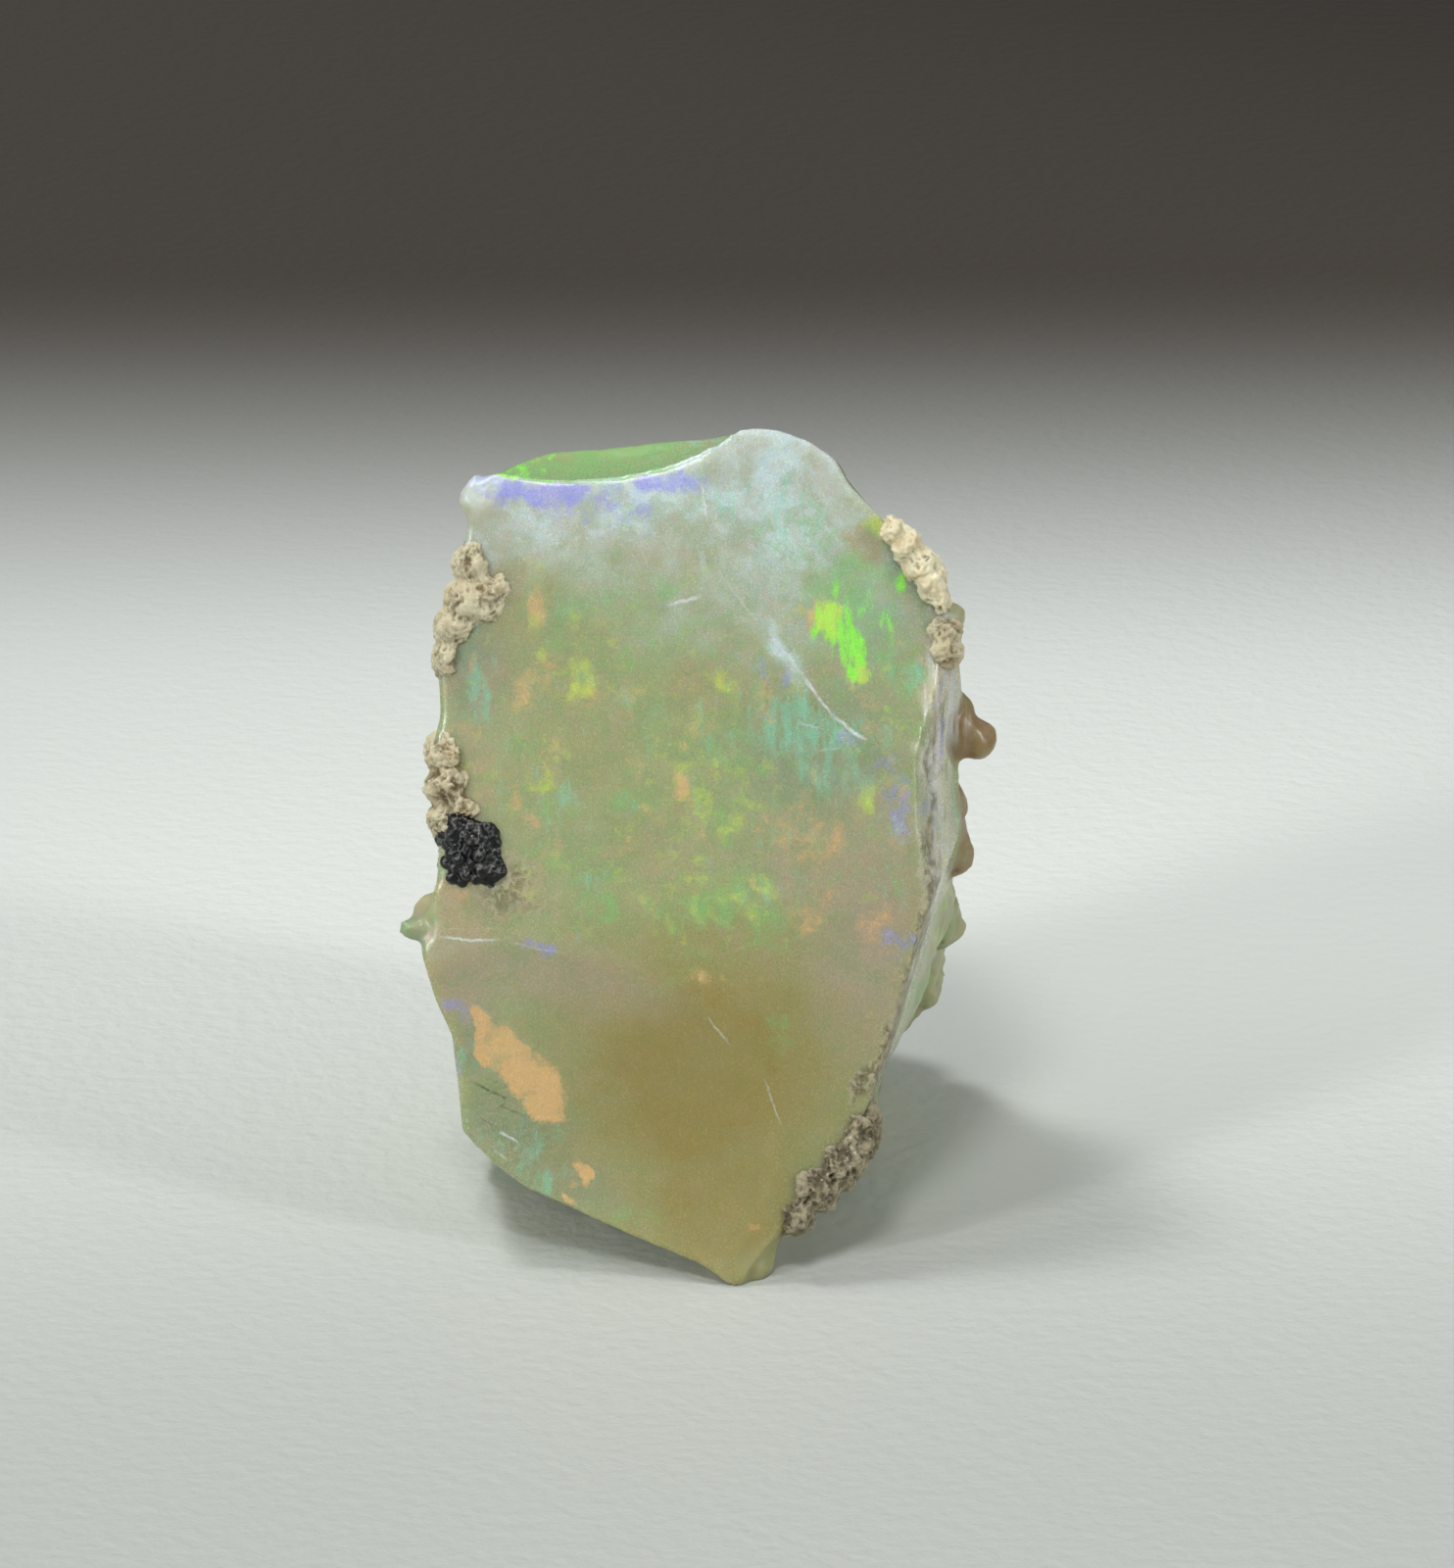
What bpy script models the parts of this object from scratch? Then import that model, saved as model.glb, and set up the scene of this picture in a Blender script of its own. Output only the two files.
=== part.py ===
"""A rough opal about 15 mm tall: one solid, as the stone is one piece.

The stone is cut in its own upright frame, one unit to the millimetre: X to the right, Y into
the stone, Z up its broad front face, with the foot of the front at the origin. A block of the
front outline is trimmed by flat breaks, struck by curved ones, and given its knobs and its
remains of host rock. It is then leaned back as it rests, cut flat where it meets the ground
and made real size.
"""

import math

import bmesh
import bpy
from mathutils import Matrix, Vector, noise

MM = 0.001
STONE_NAME = "opal"

# Driving dimensions, in millimetres and degrees.
FACE_HEIGHT = 16.20
BLOCK_FRONT = -2.0
BLOCK_BACK = 15.0
LEAN = 22.0
ORIGIN_FROM_FOOT = (0.24, 6.37)
VOXEL = 0.13
TRIANGLES = 10000

# The front outline, clockwise from the upper left corner, as X and Z.
OUTLINE = [
    (-4.05, 15.05), (-3.31, 15.52), (-2.57, 15.78), (-1.60, 15.88), (-0.50, 15.95),
    (0.46, 16.04), (0.88, 16.14), (1.32, FACE_HEIGHT), (1.75, 16.15), (2.30, 15.95),
    (2.81, 15.62), (3.09, 15.13), (3.68, 14.52), (4.30, 13.80), (4.80, 13.00),
    (5.08, 12.40), (5.18, 11.20), (5.16, 9.70), (5.12, 8.60), (5.02, 7.60),
    (5.10, 6.90), (5.02, 6.10), (4.78, 5.50), (4.32, 5.06), (3.70, 4.10),
    (3.55, 3.10), (3.35, 2.35), (2.46, 1.45), (1.84, 1.01), (1.60, 0.50),
    (1.32, 0.06), (1.01, 0.00), (0.31, 0.48), (-0.74, 0.90), (-1.65, 1.29),
    (-3.00, 1.91), (-3.60, 2.37), (-4.21, 2.98), (-4.28, 3.70), (-4.39, 4.78),
    (-4.72, 5.46), (-4.98, 6.30), (-5.05, 6.85), (-4.67, 7.65), (-4.62, 8.40),
    (-4.74, 9.40), (-4.74, 10.20), (-4.60, 10.80), (-4.64, 11.70), (-4.48, 12.50),
    (-4.28, 13.20), (-4.18, 14.00), (-3.98, 14.60),
]

# Flat breaks: a point on each, and the way it faces.
FLAT_BREAKS = {
    "front": ((0.0, -0.40, 8.5), (-0.04, -1.0, 0.02)),
    "front_top": ((-1.5, -0.32, 14.3), (-0.06, -1.0, 0.22)),
    "front_left": ((-3.2, -0.22, 10.0), (-0.24, -1.0, 0.02)),
    "front_right": ((3.6, -0.30, 9.0), (0.16, -1.0, 0.03)),
    "front_low": ((0.0, -0.30, 4.0), (0.0, -1.0, -0.10)),
    "front_low_right": ((2.4, -0.25, 5.0), (0.20, -1.0, -0.12)),
    "right_edge": ((4.56, -0.10, 10.0), (0.86, -0.50, 0.0)),
    "right_upper": ((4.95, 4.0, 11.5), (0.90, 0.25, 0.30)),
    "right_lower": ((4.35, 0.0, 6.5), (0.94, -0.10, -0.30)),
    "right_foot": ((2.50, 0.0, 2.43), (0.71, -0.40, -0.57)),
    "left_upper": ((-4.30, 3.0, 11.5), (-0.95, 0.26, 0.12)),
    "left_lower": ((-4.35, 4.0, 5.0), (-0.95, 0.20, -0.12)),
    "back_slope": ((0.0, 2.60, 15.8), (0.02, 0.73, 0.68)),
    "back_left": ((-3.4, 6.2, 9.5), (-0.52, 0.66, 0.36)),
    "back_right": ((4.3, 6.4, 9.2), (0.50, 0.68, 0.44)),
    "rear": ((0.4, 12.6, 4.6), (0.18, 0.94, 0.22)),
    "rear_left": ((-2.6, 11.2, 5.0), (-0.62, 0.76, -0.05)),
}

# Shallow scoops broken out of the front and along its top edge, each an ellipsoid that is
# taken away: its centre and half sizes.
SCOOPS = {
    "front_low_left": ((-9.3, -0.4, 1.6), (12.0, 1.3, 5.9)),
    "front_right": ((9.6, -0.35, 16.4), (9.6, 0.8, 8.1)),
    "top_dish": ((-1.62, 0.62, 17.15), (3.75, 2.5, 2.0)),
}

# Shell-like breaks: the middle of each on the surface, the way it faces, the radius of its
# rim and how deep it is struck.
SHELL_BREAKS = {
    "front_fan": ((3.30, -0.10, 9.30), (0.10, -1.0, 0.10), 1.30, 0.14),
    "right_strip": ((4.95, 0.75, 9.50), (0.86, -0.50, 0.0), 1.50, 0.16),
    "right_side": ((4.95, 4.60, 11.40), (0.95, 0.10, 0.28), 2.10, 0.55),
    "right_side_low": ((4.60, 4.80, 5.20), (0.95, 0.10, -0.30), 1.90, 0.45),
    "left_side": ((-4.35, 3.60, 5.00), (-0.98, 0.10, -0.10), 2.50, 0.60),
    "left_side_high": ((-3.60, 3.60, 13.40), (-0.90, 0.40, 0.15), 1.60, 0.35),
    "back_high": ((1.60, 4.90, 13.30), (0.15, 0.73, 0.68), 3.20, 0.80),
    "back_middle": ((-1.90, 7.33, 9.60), (-0.45, 0.70, 0.40), 2.80, 0.70),
    "back_right": ((3.40, 7.64, 8.30), (0.50, 0.68, 0.44), 2.40, 0.55),
    "back_low": ((-0.40, 10.20, 6.40), (-0.20, 0.85, 0.50), 2.60, 0.60),
    "rear_left": ((-3.30, 9.60, 5.20), (-0.65, 0.75, 0.0), 2.10, 0.50),
}

# Knobs of opal that stand out of the stone: centre and half sizes.
KNOBS = {
    "corner_chip": ((-3.96, 0.25, 14.98), (0.26, 0.30, 0.34)),
    "left_spike": ((-5.18, 0.45, 6.80), (0.36, 0.42, 0.30)),
    "left_spike_root": ((-4.72, 0.45, 6.95), (0.55, 0.60, 0.62)),
    "edge_knob": ((5.42, 1.60, 10.36), (0.40, 0.42, 0.42)),
    "edge_knob_root": ((5.16, 1.55, 10.55), (0.34, 0.50, 0.62)),
    "edge_point": ((5.20, 2.30, 8.12), (0.30, 0.42, 0.34)),
    "edge_point_root": ((5.06, 2.20, 8.45), (0.28, 0.50, 0.55)),
    "edge_bead": ((5.08, 1.90, 9.20), (0.24, 0.45, 0.36)),
    "shoulder_bead": ((5.00, 0.75, 12.62), (0.24, 0.34, 0.26)),
    "foot_tip": ((1.20, 0.56, 0.60), (0.40, 0.50, 0.62)),
    "rear_knob": ((4.86, 6.20, 6.95), (0.52, 1.00, 0.66)),
    "rear_low_knob": ((4.48, 7.60, 5.80), (0.50, 1.20, 0.60)),
    "side_knob": ((4.50, 5.20, 8.60), (0.60, 1.10, 0.80)),
    "side_knob_high": ((4.20, 3.60, 12.90), (0.50, 0.90, 0.60)),
    "back_knob": ((0.90, 7.00, 10.40), (1.20, 0.90, 0.80)),
}

# Remains of host rock on the stone: centre and half sizes.
CRUSTS = {
    "left_upper": ((-3.92, 0.62, 13.05), (0.66, 1.05, 0.98)),
    "left_shoulder": ((-4.34, 0.85, 11.95), (0.38, 1.00, 0.62)),
    "left_middle": ((-4.38, 0.70, 9.95), (0.50, 1.10, 0.90)),
    "left_black": ((-3.98, 0.28, 8.22), (0.72, 0.72, 0.86)),
    "right_upper": ((3.90, 0.75, 14.20), (0.40, 0.75, 0.50)),
    "right_shoulder": ((4.36, 0.75, 13.55), (0.38, 0.75, 0.62)),
    "right_middle": ((4.80, 0.62, 12.10), (0.40, 0.66, 0.60)),
    "right_foot": ((2.95, 1.70, 2.60), (0.66, 1.55, 0.85)),
    "right_foot_low": ((2.25, 1.30, 1.70), (0.58, 1.10, 0.50)),
    "left_rear": ((-3.55, 6.10, 8.10), (0.80, 1.50, 1.50)),
    "back_upper": ((-2.30, 4.90, 12.10), (1.50, 1.00, 1.40)),
    "back_lower": ((2.60, 9.00, 6.20), (1.70, 1.00, 1.40)),
}

GLASSY_AMOUNT, GLASSY_GRAIN = 0.035, 1.9
HACKLY_AMOUNT, HACKLY_GRAIN = 0.15, 0.95
LUMPY_AMOUNT, LUMPY_GRAIN = 0.30, 2.30
GLASSY_DEPTH, HACKLY_RISE = 1.6, 3.0
CRUST_AMOUNT, CRUST_GRAIN = 0.20, 0.42
CRUST_MARGIN = 0.30
SHELL_TOUCH = 0.06
SHARP_EDGE = 30.0


def clear_scene():
    for old in list(bpy.data.objects):
        bpy.data.objects.remove(old, do_unlink=True)


def new_object(name, bm, collection):
    mesh = bpy.data.meshes.new(name)
    bm.to_mesh(mesh)
    bm.free()
    made = bpy.data.objects.new(name, mesh)
    collection.objects.link(made)
    return made


def outline_block():
    """The outline as a prism that runs back through the stone."""
    bm = bmesh.new()
    ring = [bm.verts.new((x, BLOCK_FRONT, z)) for x, z in OUTLINE]
    face = bm.faces.new(ring)
    swept = bmesh.ops.extrude_face_region(bm, geom=[face])
    moved = [item for item in swept["geom"] if isinstance(item, bmesh.types.BMVert)]
    bmesh.ops.translate(bm, verts=moved, vec=(0, BLOCK_BACK - BLOCK_FRONT, 0))
    bmesh.ops.recalc_face_normals(bm, faces=bm.faces)
    return bm


def trim(bm, point, facing):
    """Takes away what lies outside a plane, and closes the cut."""
    everything = bm.verts[:] + bm.edges[:] + bm.faces[:]
    cut = bmesh.ops.bisect_plane(
        bm, geom=everything, plane_co=point, plane_no=facing, clear_outer=True
    )
    rim = [item for item in cut["geom_cut"] if isinstance(item, bmesh.types.BMEdge)]
    bmesh.ops.holes_fill(bm, edges=rim)


def add_ellipsoid(bm, centre, half_sizes, detail=4):
    place = Matrix.Translation(centre) @ Matrix.Diagonal((*half_sizes, 1.0))
    bmesh.ops.create_icosphere(bm, subdivisions=detail, radius=1.0, matrix=place)


def shell_ball(middle, facing, rim, depth):
    """Centre and radius of the ball that leaves a shell break of this rim and depth."""
    radius = (rim**2 + depth**2) / (2 * depth)
    return Vector(middle) + Vector(facing).normalized() * (radius - depth), radius


def strike(stone, name, centre, half_sizes, cutters):
    """Takes a ball away from the stone, which leaves a curved, shell-like break."""
    bm = bmesh.new()
    add_ellipsoid(bm, centre, half_sizes, detail=5)
    cutter = new_object("cutter_" + name, bm, cutters)
    cutter.hide_render = True
    cutter.display_type = "WIRE"
    cut = stone.modifiers.new(name, "BOOLEAN")
    cut.operation = "DIFFERENCE"
    cut.solver = "EXACT"
    cut.object = cutter


def apply_modifiers(thing):
    """Puts what the modifiers make into the object's own mesh."""
    graph = bpy.context.evaluated_depsgraph_get()
    made = bpy.data.meshes.new_from_object(thing.evaluated_get(graph))
    thing.modifiers.clear()
    thing.data = made


def lean_back():
    """From the stone's upright frame to how it rests."""
    return Matrix.Rotation(-math.radians(LEAN), 4, "X")


def fuse(stone, extra):
    """Adds the shapes in extra to the stone and makes one closed skin round them all."""
    bm = bmesh.new()
    bm.from_mesh(stone.data)
    lumps = bpy.data.meshes.new("lumps")
    extra.to_mesh(lumps)
    extra.free()
    bm.from_mesh(lumps)
    bm.to_mesh(stone.data)
    bm.free()
    skin = stone.modifiers.new("skin", "REMESH")
    skin.mode = "VOXEL"
    skin.voxel_size = VOXEL
    apply_modifiers(stone)


def nearness(point, lumps):
    """1 inside any of the ellipsoids, falling to 0 a little way outside them."""
    best = 0.0
    for centre, half_sizes in lumps.values():
        offset = Vector(point) - Vector(centre)
        reach = Vector([offset[i] / (half_sizes[i] + CRUST_MARGIN) for i in range(3)])
        best = max(best, min(1.0, 3.0 * (1.0 - reach.length)))
    return best


def hackliness(point, balls):
    """0 on the front and on every shell break, rising to 1 on the other sides and the back."""
    if any(abs((point - centre).length - radius) < SHELL_TOUCH for centre, radius in balls):
        return 0.0
    return min(1.0, max(0.0, (point.y - GLASSY_DEPTH) / HACKLY_RISE))


def roughen(stone):
    """Moves each point of the skin along its normal: a little on glass, more on rock."""
    mesh = stone.data
    balls = [shell_ball(*shell) for shell in SHELL_BREAKS.values()]
    normals = [v.normal.copy() for v in mesh.vertices]
    for vertex, normal in zip(mesh.vertices, normals):
        point = vertex.co.copy()
        rock = nearness(point, CRUSTS)
        rough = max(hackliness(point, balls), 0.6 * nearness(point, KNOBS))
        glass = noise.noise(point / GLASSY_GRAIN) * GLASSY_AMOUNT
        lumps = noise.noise(point / LUMPY_GRAIN) * LUMPY_AMOUNT * rough
        hackle = noise.fractal(point / HACKLY_GRAIN, 0.9, 2.1, 3) * HACKLY_AMOUNT * rough
        pits = noise.fractal(point / CRUST_GRAIN, 0.7, 2.3, 3) * CRUST_AMOUNT * rock
        vertex.co = point + normal * (glass + lumps + hackle + pits)


def lighten(stone):
    """Leaves large triangles on the smooth faces and small ones on the rough rock."""
    fewer = stone.modifiers.new("fewer", "DECIMATE")
    fewer.ratio = TRIANGLES / (2 * len(stone.data.polygons))
    fewer.use_collapse_triangulate = True
    apply_modifiers(stone)


def set_on_ground(stone):
    """Cuts the flat break that the stone rests on, and moves the origin under its middle."""
    bm = bmesh.new()
    bm.from_mesh(stone.data)
    trim(bm, (0, 0, 0), (0, 0, -1))
    bmesh.ops.triangulate(bm, faces=[face for face in bm.faces if len(face.verts) > 3])
    right, back = ORIGIN_FROM_FOOT
    bmesh.ops.translate(bm, verts=bm.verts, vec=(-right, -back, 0))
    bmesh.ops.scale(bm, verts=bm.verts, vec=(MM, MM, MM))
    bm.to_mesh(stone.data)
    bm.free()


def opal_material():
    made = bpy.data.materials.new("opal")
    made.use_nodes = True
    shader = made.node_tree.nodes["Principled BSDF"]
    shader.inputs["Base Color"].default_value = (0.46, 0.50, 0.36, 1.0)
    shader.inputs["Roughness"].default_value = 0.22
    shader.inputs["Metallic"].default_value = 0.0
    shader.inputs["IOR"].default_value = 1.43
    shader.inputs["Transmission Weight"].default_value = 0.35
    return made


def build():
    clear_scene()
    stones = bpy.data.collections.new("rough_opal")
    cutters = bpy.data.collections.new("cutters")
    for collection in (stones, cutters):
        bpy.context.scene.collection.children.link(collection)

    block = outline_block()
    for point, facing in FLAT_BREAKS.values():
        trim(block, point, facing)
    stone = new_object(STONE_NAME, block, stones)
    for name, (centre, half_sizes) in SCOOPS.items():
        strike(stone, name, centre, half_sizes, cutters)
    for name, shell in SHELL_BREAKS.items():
        centre, radius = shell_ball(*shell)
        strike(stone, name, centre, (radius, radius, radius), cutters)
    apply_modifiers(stone)

    lumps = bmesh.new()
    for centre, half_sizes in (KNOBS | CRUSTS).values():
        add_ellipsoid(lumps, centre, half_sizes)
    fuse(stone, lumps)
    roughen(stone)
    lighten(stone)
    stone.data.transform(lean_back())
    set_on_ground(stone)

    stone.data.materials.append(opal_material())
    stone.data.shade_smooth()
    stone.data.set_sharp_from_angle(angle=math.radians(SHARP_EDGE))


build()
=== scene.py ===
# %% [markdown]
# A rough opal, dressed for a close look. The CAD model of the stone is loaded as a fixed
# frame, and this lesson makes the fine stone that stands in its place: the glassy broken
# surfaces, the crusts of host rock, the black beads, and the play of colour inside.
#
# Everything is modelled in the stone's own upright frame, in millimetres: X to the right,
# Y into the stone, Z up its broad front, with the foot of the front at the origin. A later
# step leans each piece back as the stone rests and makes it real size.

# %% Load the stone's frame
import math
import random

import bpy
import numpy as np
from mathutils import Euler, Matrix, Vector, noise


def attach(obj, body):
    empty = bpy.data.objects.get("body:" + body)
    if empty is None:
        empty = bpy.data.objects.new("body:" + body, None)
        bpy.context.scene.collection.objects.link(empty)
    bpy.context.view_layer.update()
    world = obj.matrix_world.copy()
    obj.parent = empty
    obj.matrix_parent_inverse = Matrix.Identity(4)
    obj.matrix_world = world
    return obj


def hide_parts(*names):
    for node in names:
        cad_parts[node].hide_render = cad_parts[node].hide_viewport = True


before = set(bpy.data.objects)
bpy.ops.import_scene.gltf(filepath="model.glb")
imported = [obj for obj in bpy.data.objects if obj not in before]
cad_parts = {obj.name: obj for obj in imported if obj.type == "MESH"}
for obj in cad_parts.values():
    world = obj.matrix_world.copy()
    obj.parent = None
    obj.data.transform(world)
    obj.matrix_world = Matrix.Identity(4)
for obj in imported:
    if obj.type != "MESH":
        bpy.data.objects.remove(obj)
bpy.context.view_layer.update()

# %% Measures of the whole stone
MM = 0.001
LEAN = math.radians(22.0)
ORIGIN_FROM_FOOT = Vector((0.24, 6.37, 0.0))

# %% [markdown]
# An operator acts on what is selected, in the mode that Blender is in, as when one works by
# hand. These helpers pick one piece, open it in edit mode, apply its place, and put what a
# modifier does into its mesh.

# %% Small helpers for working by hand
def deselect_all():
    """Leaves edit mode and selects nothing."""
    if bpy.context.mode != "OBJECT":
        bpy.ops.object.mode_set(mode="OBJECT")
    bpy.ops.object.select_all(action="DESELECT")


def pick(piece):
    """Makes one piece the only one that is selected, and the active one."""
    deselect_all()
    piece.select_set(True)
    bpy.context.view_layer.objects.active = piece


def edit_all(piece):
    """Opens a piece in edit mode with all of it selected."""
    pick(piece)
    bpy.ops.object.mode_set(mode="EDIT")
    bpy.ops.mesh.select_all(action="SELECT")


def apply_place(piece):
    """Puts the piece's place, turn and scale into its mesh."""
    pick(piece)
    bpy.ops.object.transform_apply(location=True, rotation=True, scale=True)


def finish_modifier(piece, kind, **settings):
    """Adds a modifier with its settings and applies it."""
    pick(piece)
    modifier = piece.modifiers.new(kind.lower(), kind)
    for name, value in settings.items():
        setattr(modifier, name, value)
    bpy.ops.object.modifier_apply(modifier=modifier.name)


def triangles_in(piece):
    return sum(len(face.vertices) - 2 for face in piece.data.polygons)

# %% [markdown]
# The stone began as a lump that broke along flat and curved faces. It could be sculpted, but
# then its outline would be a matter of luck. Here its front outline is drawn first, as a ring
# of points that is filled and extruded through the stone's depth, like a slice of bread.

# %% Draw the ring of points round the front
OUTLINE = [
    (-4.05, 15.05), (-3.31, 15.52), (-2.57, 15.78), (-1.60, 15.88), (-0.50, 15.95),
    (0.46, 16.04), (0.88, 16.14), (1.32, 16.20), (1.75, 16.15), (2.30, 15.95),
    (2.81, 15.62), (3.09, 15.13), (3.68, 14.52), (4.30, 13.80), (4.80, 13.00),
    (5.08, 12.40), (5.18, 11.20), (5.16, 9.70), (5.12, 8.60), (5.02, 7.60),
    (5.10, 6.90), (5.02, 6.10), (4.78, 5.50), (4.32, 5.06), (3.70, 4.10),
    (3.55, 3.10), (3.35, 2.35), (2.46, 1.45), (1.84, 1.01), (1.60, 0.50),
    (1.32, 0.06), (1.01, 0.00), (0.31, 0.48), (-0.74, 0.90), (-1.65, 1.29),
    (-3.00, 1.91), (-3.60, 2.37), (-4.21, 2.98), (-4.28, 3.70), (-4.39, 4.78),
    (-4.72, 5.46), (-4.98, 6.30), (-5.05, 6.85), (-4.67, 7.65), (-4.62, 8.40),
    (-4.74, 9.40), (-4.74, 10.20), (-4.60, 10.80), (-4.64, 11.70), (-4.48, 12.50),
    (-4.28, 13.20), (-4.18, 14.00), (-3.98, 14.60),
]
print("outline:", len(OUTLINE), "points")

# %% Fill the ring and extrude it
BLOCK_FRONT, BLOCK_BACK = -2.0, 15.0


def outline_block():
    deselect_all()
    bpy.ops.mesh.primitive_circle_add(vertices=len(OUTLINE), radius=1.0, fill_type="NGON")
    block = bpy.context.object
    block.name = "opal_body"
    for vertex, (x, z) in zip(block.data.vertices, OUTLINE):
        vertex.co = (x, BLOCK_FRONT, z)
    edit_all(block)
    depth = (0.0, BLOCK_BACK - BLOCK_FRONT, 0.0)
    bpy.ops.mesh.extrude_region_move(TRANSFORM_OT_translate={"value": depth})
    bpy.ops.mesh.select_all(action="SELECT")
    bpy.ops.mesh.normals_make_consistent(inside=False)
    bpy.ops.object.mode_set(mode="OBJECT")
    return block


opal = outline_block()
print("block:", len(opal.data.polygons), "faces")

# %% [markdown]
# Flat breaks come next. Each is a plane, given by a point on it and the way it faces, and all
# that lies outside it is cut away. Bisect with a filled cut does just that, one blow at a time.

# %% Trim the block by its flat breaks
FLAT_BREAKS = {
    "front": ((0.0, -0.40, 8.5), (-0.04, -1.0, 0.02)),
    "front_top": ((-1.5, -0.32, 14.3), (-0.06, -1.0, 0.22)),
    "front_left": ((-3.2, -0.22, 10.0), (-0.24, -1.0, 0.02)),
    "front_right": ((3.6, -0.30, 9.0), (0.16, -1.0, 0.03)),
    "front_low": ((0.0, -0.30, 4.0), (0.0, -1.0, -0.10)),
    "front_low_right": ((2.4, -0.25, 5.0), (0.20, -1.0, -0.12)),
    "right_edge": ((4.56, -0.10, 10.0), (0.86, -0.50, 0.0)),
    "right_upper": ((4.95, 4.0, 11.5), (0.90, 0.25, 0.30)),
    "right_lower": ((4.35, 0.0, 6.5), (0.94, -0.10, -0.30)),
    "right_foot": ((2.76, 0.0, 2.43), (0.71, -0.40, -0.57)),
    "left_upper": ((-4.30, 3.0, 11.5), (-0.95, 0.26, 0.12)),
    "left_lower": ((-4.35, 4.0, 5.0), (-0.95, 0.20, -0.12)),
    "back_slope": ((0.0, 2.60, 15.8), (0.02, 0.73, 0.68)),
    "back_left": ((-3.4, 6.2, 9.5), (-0.52, 0.66, 0.36)),
    "back_right": ((4.3, 6.4, 9.2), (0.50, 0.68, 0.44)),
    "rear": ((0.4, 12.6, 4.6), (0.18, 0.94, 0.22)),
    "rear_left": ((-2.6, 11.2, 5.0), (-0.62, 0.76, -0.05)),
}


def trim(piece, point, facing):
    """Cuts away what lies outside a plane, and fills the cut."""
    edit_all(piece)
    bpy.ops.mesh.bisect(plane_co=point, plane_no=facing, use_fill=True, clear_outer=True)
    bpy.ops.object.mode_set(mode="OBJECT")


for point, facing in FLAT_BREAKS.values():
    trim(opal, point, facing)
print("after the flat breaks:", len(opal.data.polygons), "faces")

# %% [markdown]
# Opal has no grain to split along, so it breaks like thick glass, in shallow shells. A ball
# taken away with a Boolean leaves that shape, with a sharp rim. The two wide, shallow breaks
# on the front and the scoop along the top edge are flattened balls.

# %% Strike the shell-shaped breaks
SCOOPS = {
    "front_low_left": ((-9.3, -1.9, 1.6), (14.4, 2.8, 7.08)),
    "front_right": ((10.8, -1.5, 19.5), (13.1, 2.5, 13.7)),
    "top_dish": ((-2.05, 0.62, 17.15), (3.60, 2.5, 2.0)),
}
SHELL_BREAKS = {
    "right_strip": ((4.95, 0.75, 9.50), (0.86, -0.50, 0.0), 1.50, 0.16),
    "right_side": ((4.95, 4.60, 11.40), (0.95, 0.10, 0.28), 2.10, 0.55),
    "right_side_low": ((4.60, 4.80, 5.20), (0.95, 0.10, -0.30), 1.90, 0.45),
    "left_side": ((-4.35, 3.60, 5.00), (-0.98, 0.10, -0.10), 2.50, 0.60),
    "left_side_high": ((-3.60, 3.60, 13.40), (-0.90, 0.40, 0.15), 1.60, 0.35),
    "back_high": ((1.60, 4.90, 13.30), (0.15, 0.73, 0.68), 3.20, 0.80),
    "back_middle": ((-1.90, 7.33, 9.60), (-0.45, 0.70, 0.40), 2.80, 0.70),
    "back_right": ((3.40, 7.64, 8.30), (0.50, 0.68, 0.44), 2.40, 0.55),
    "back_low": ((-0.40, 10.20, 6.40), (-0.20, 0.85, 0.50), 2.60, 0.60),
    "rear_left": ((-3.30, 9.60, 5.20), (-0.65, 0.75, 0.0), 2.10, 0.50),
}


def shell_ball(middle, facing, rim, depth):
    """Centre and radius of the ball that leaves a shell break of this rim and depth."""
    radius = (rim**2 + depth**2) / (2 * depth)
    return Vector(middle) + Vector(facing).normalized() * (radius - depth), radius


def add_ball(centre, half_sizes, detail):
    deselect_all()
    bpy.ops.mesh.primitive_ico_sphere_add(subdivisions=detail, radius=1.0, location=centre)
    ball = bpy.context.object
    ball.scale = half_sizes
    apply_place(ball)
    return ball


def strike(piece, centre, half_sizes):
    """Takes a ball away from the piece."""
    ball = add_ball(centre, half_sizes, detail=6)
    finish_modifier(piece, "BOOLEAN", operation="DIFFERENCE", solver="EXACT", object=ball)
    bpy.data.objects.remove(ball)


SHELL_BALLS = {name: shell_ball(*shell) for name, shell in SHELL_BREAKS.items()}
for centre, half_sizes in SCOOPS.values():
    strike(opal, centre, half_sizes)
for centre, radius in SHELL_BALLS.values():
    strike(opal, centre, (radius, radius, radius))
print("after the shell breaks:", len(opal.data.polygons), "faces")

# %% [markdown]
# Knobs of opal stand out of the broken faces. The round ones are joined to the stone as balls
# and the broken ones as chips with flat facets. One voxel remesh then grows a single even skin
# over everything, fine enough to move about in the next step, and a little smoothing takes off
# the steps that a remesh leaves along sharp rims.

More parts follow.
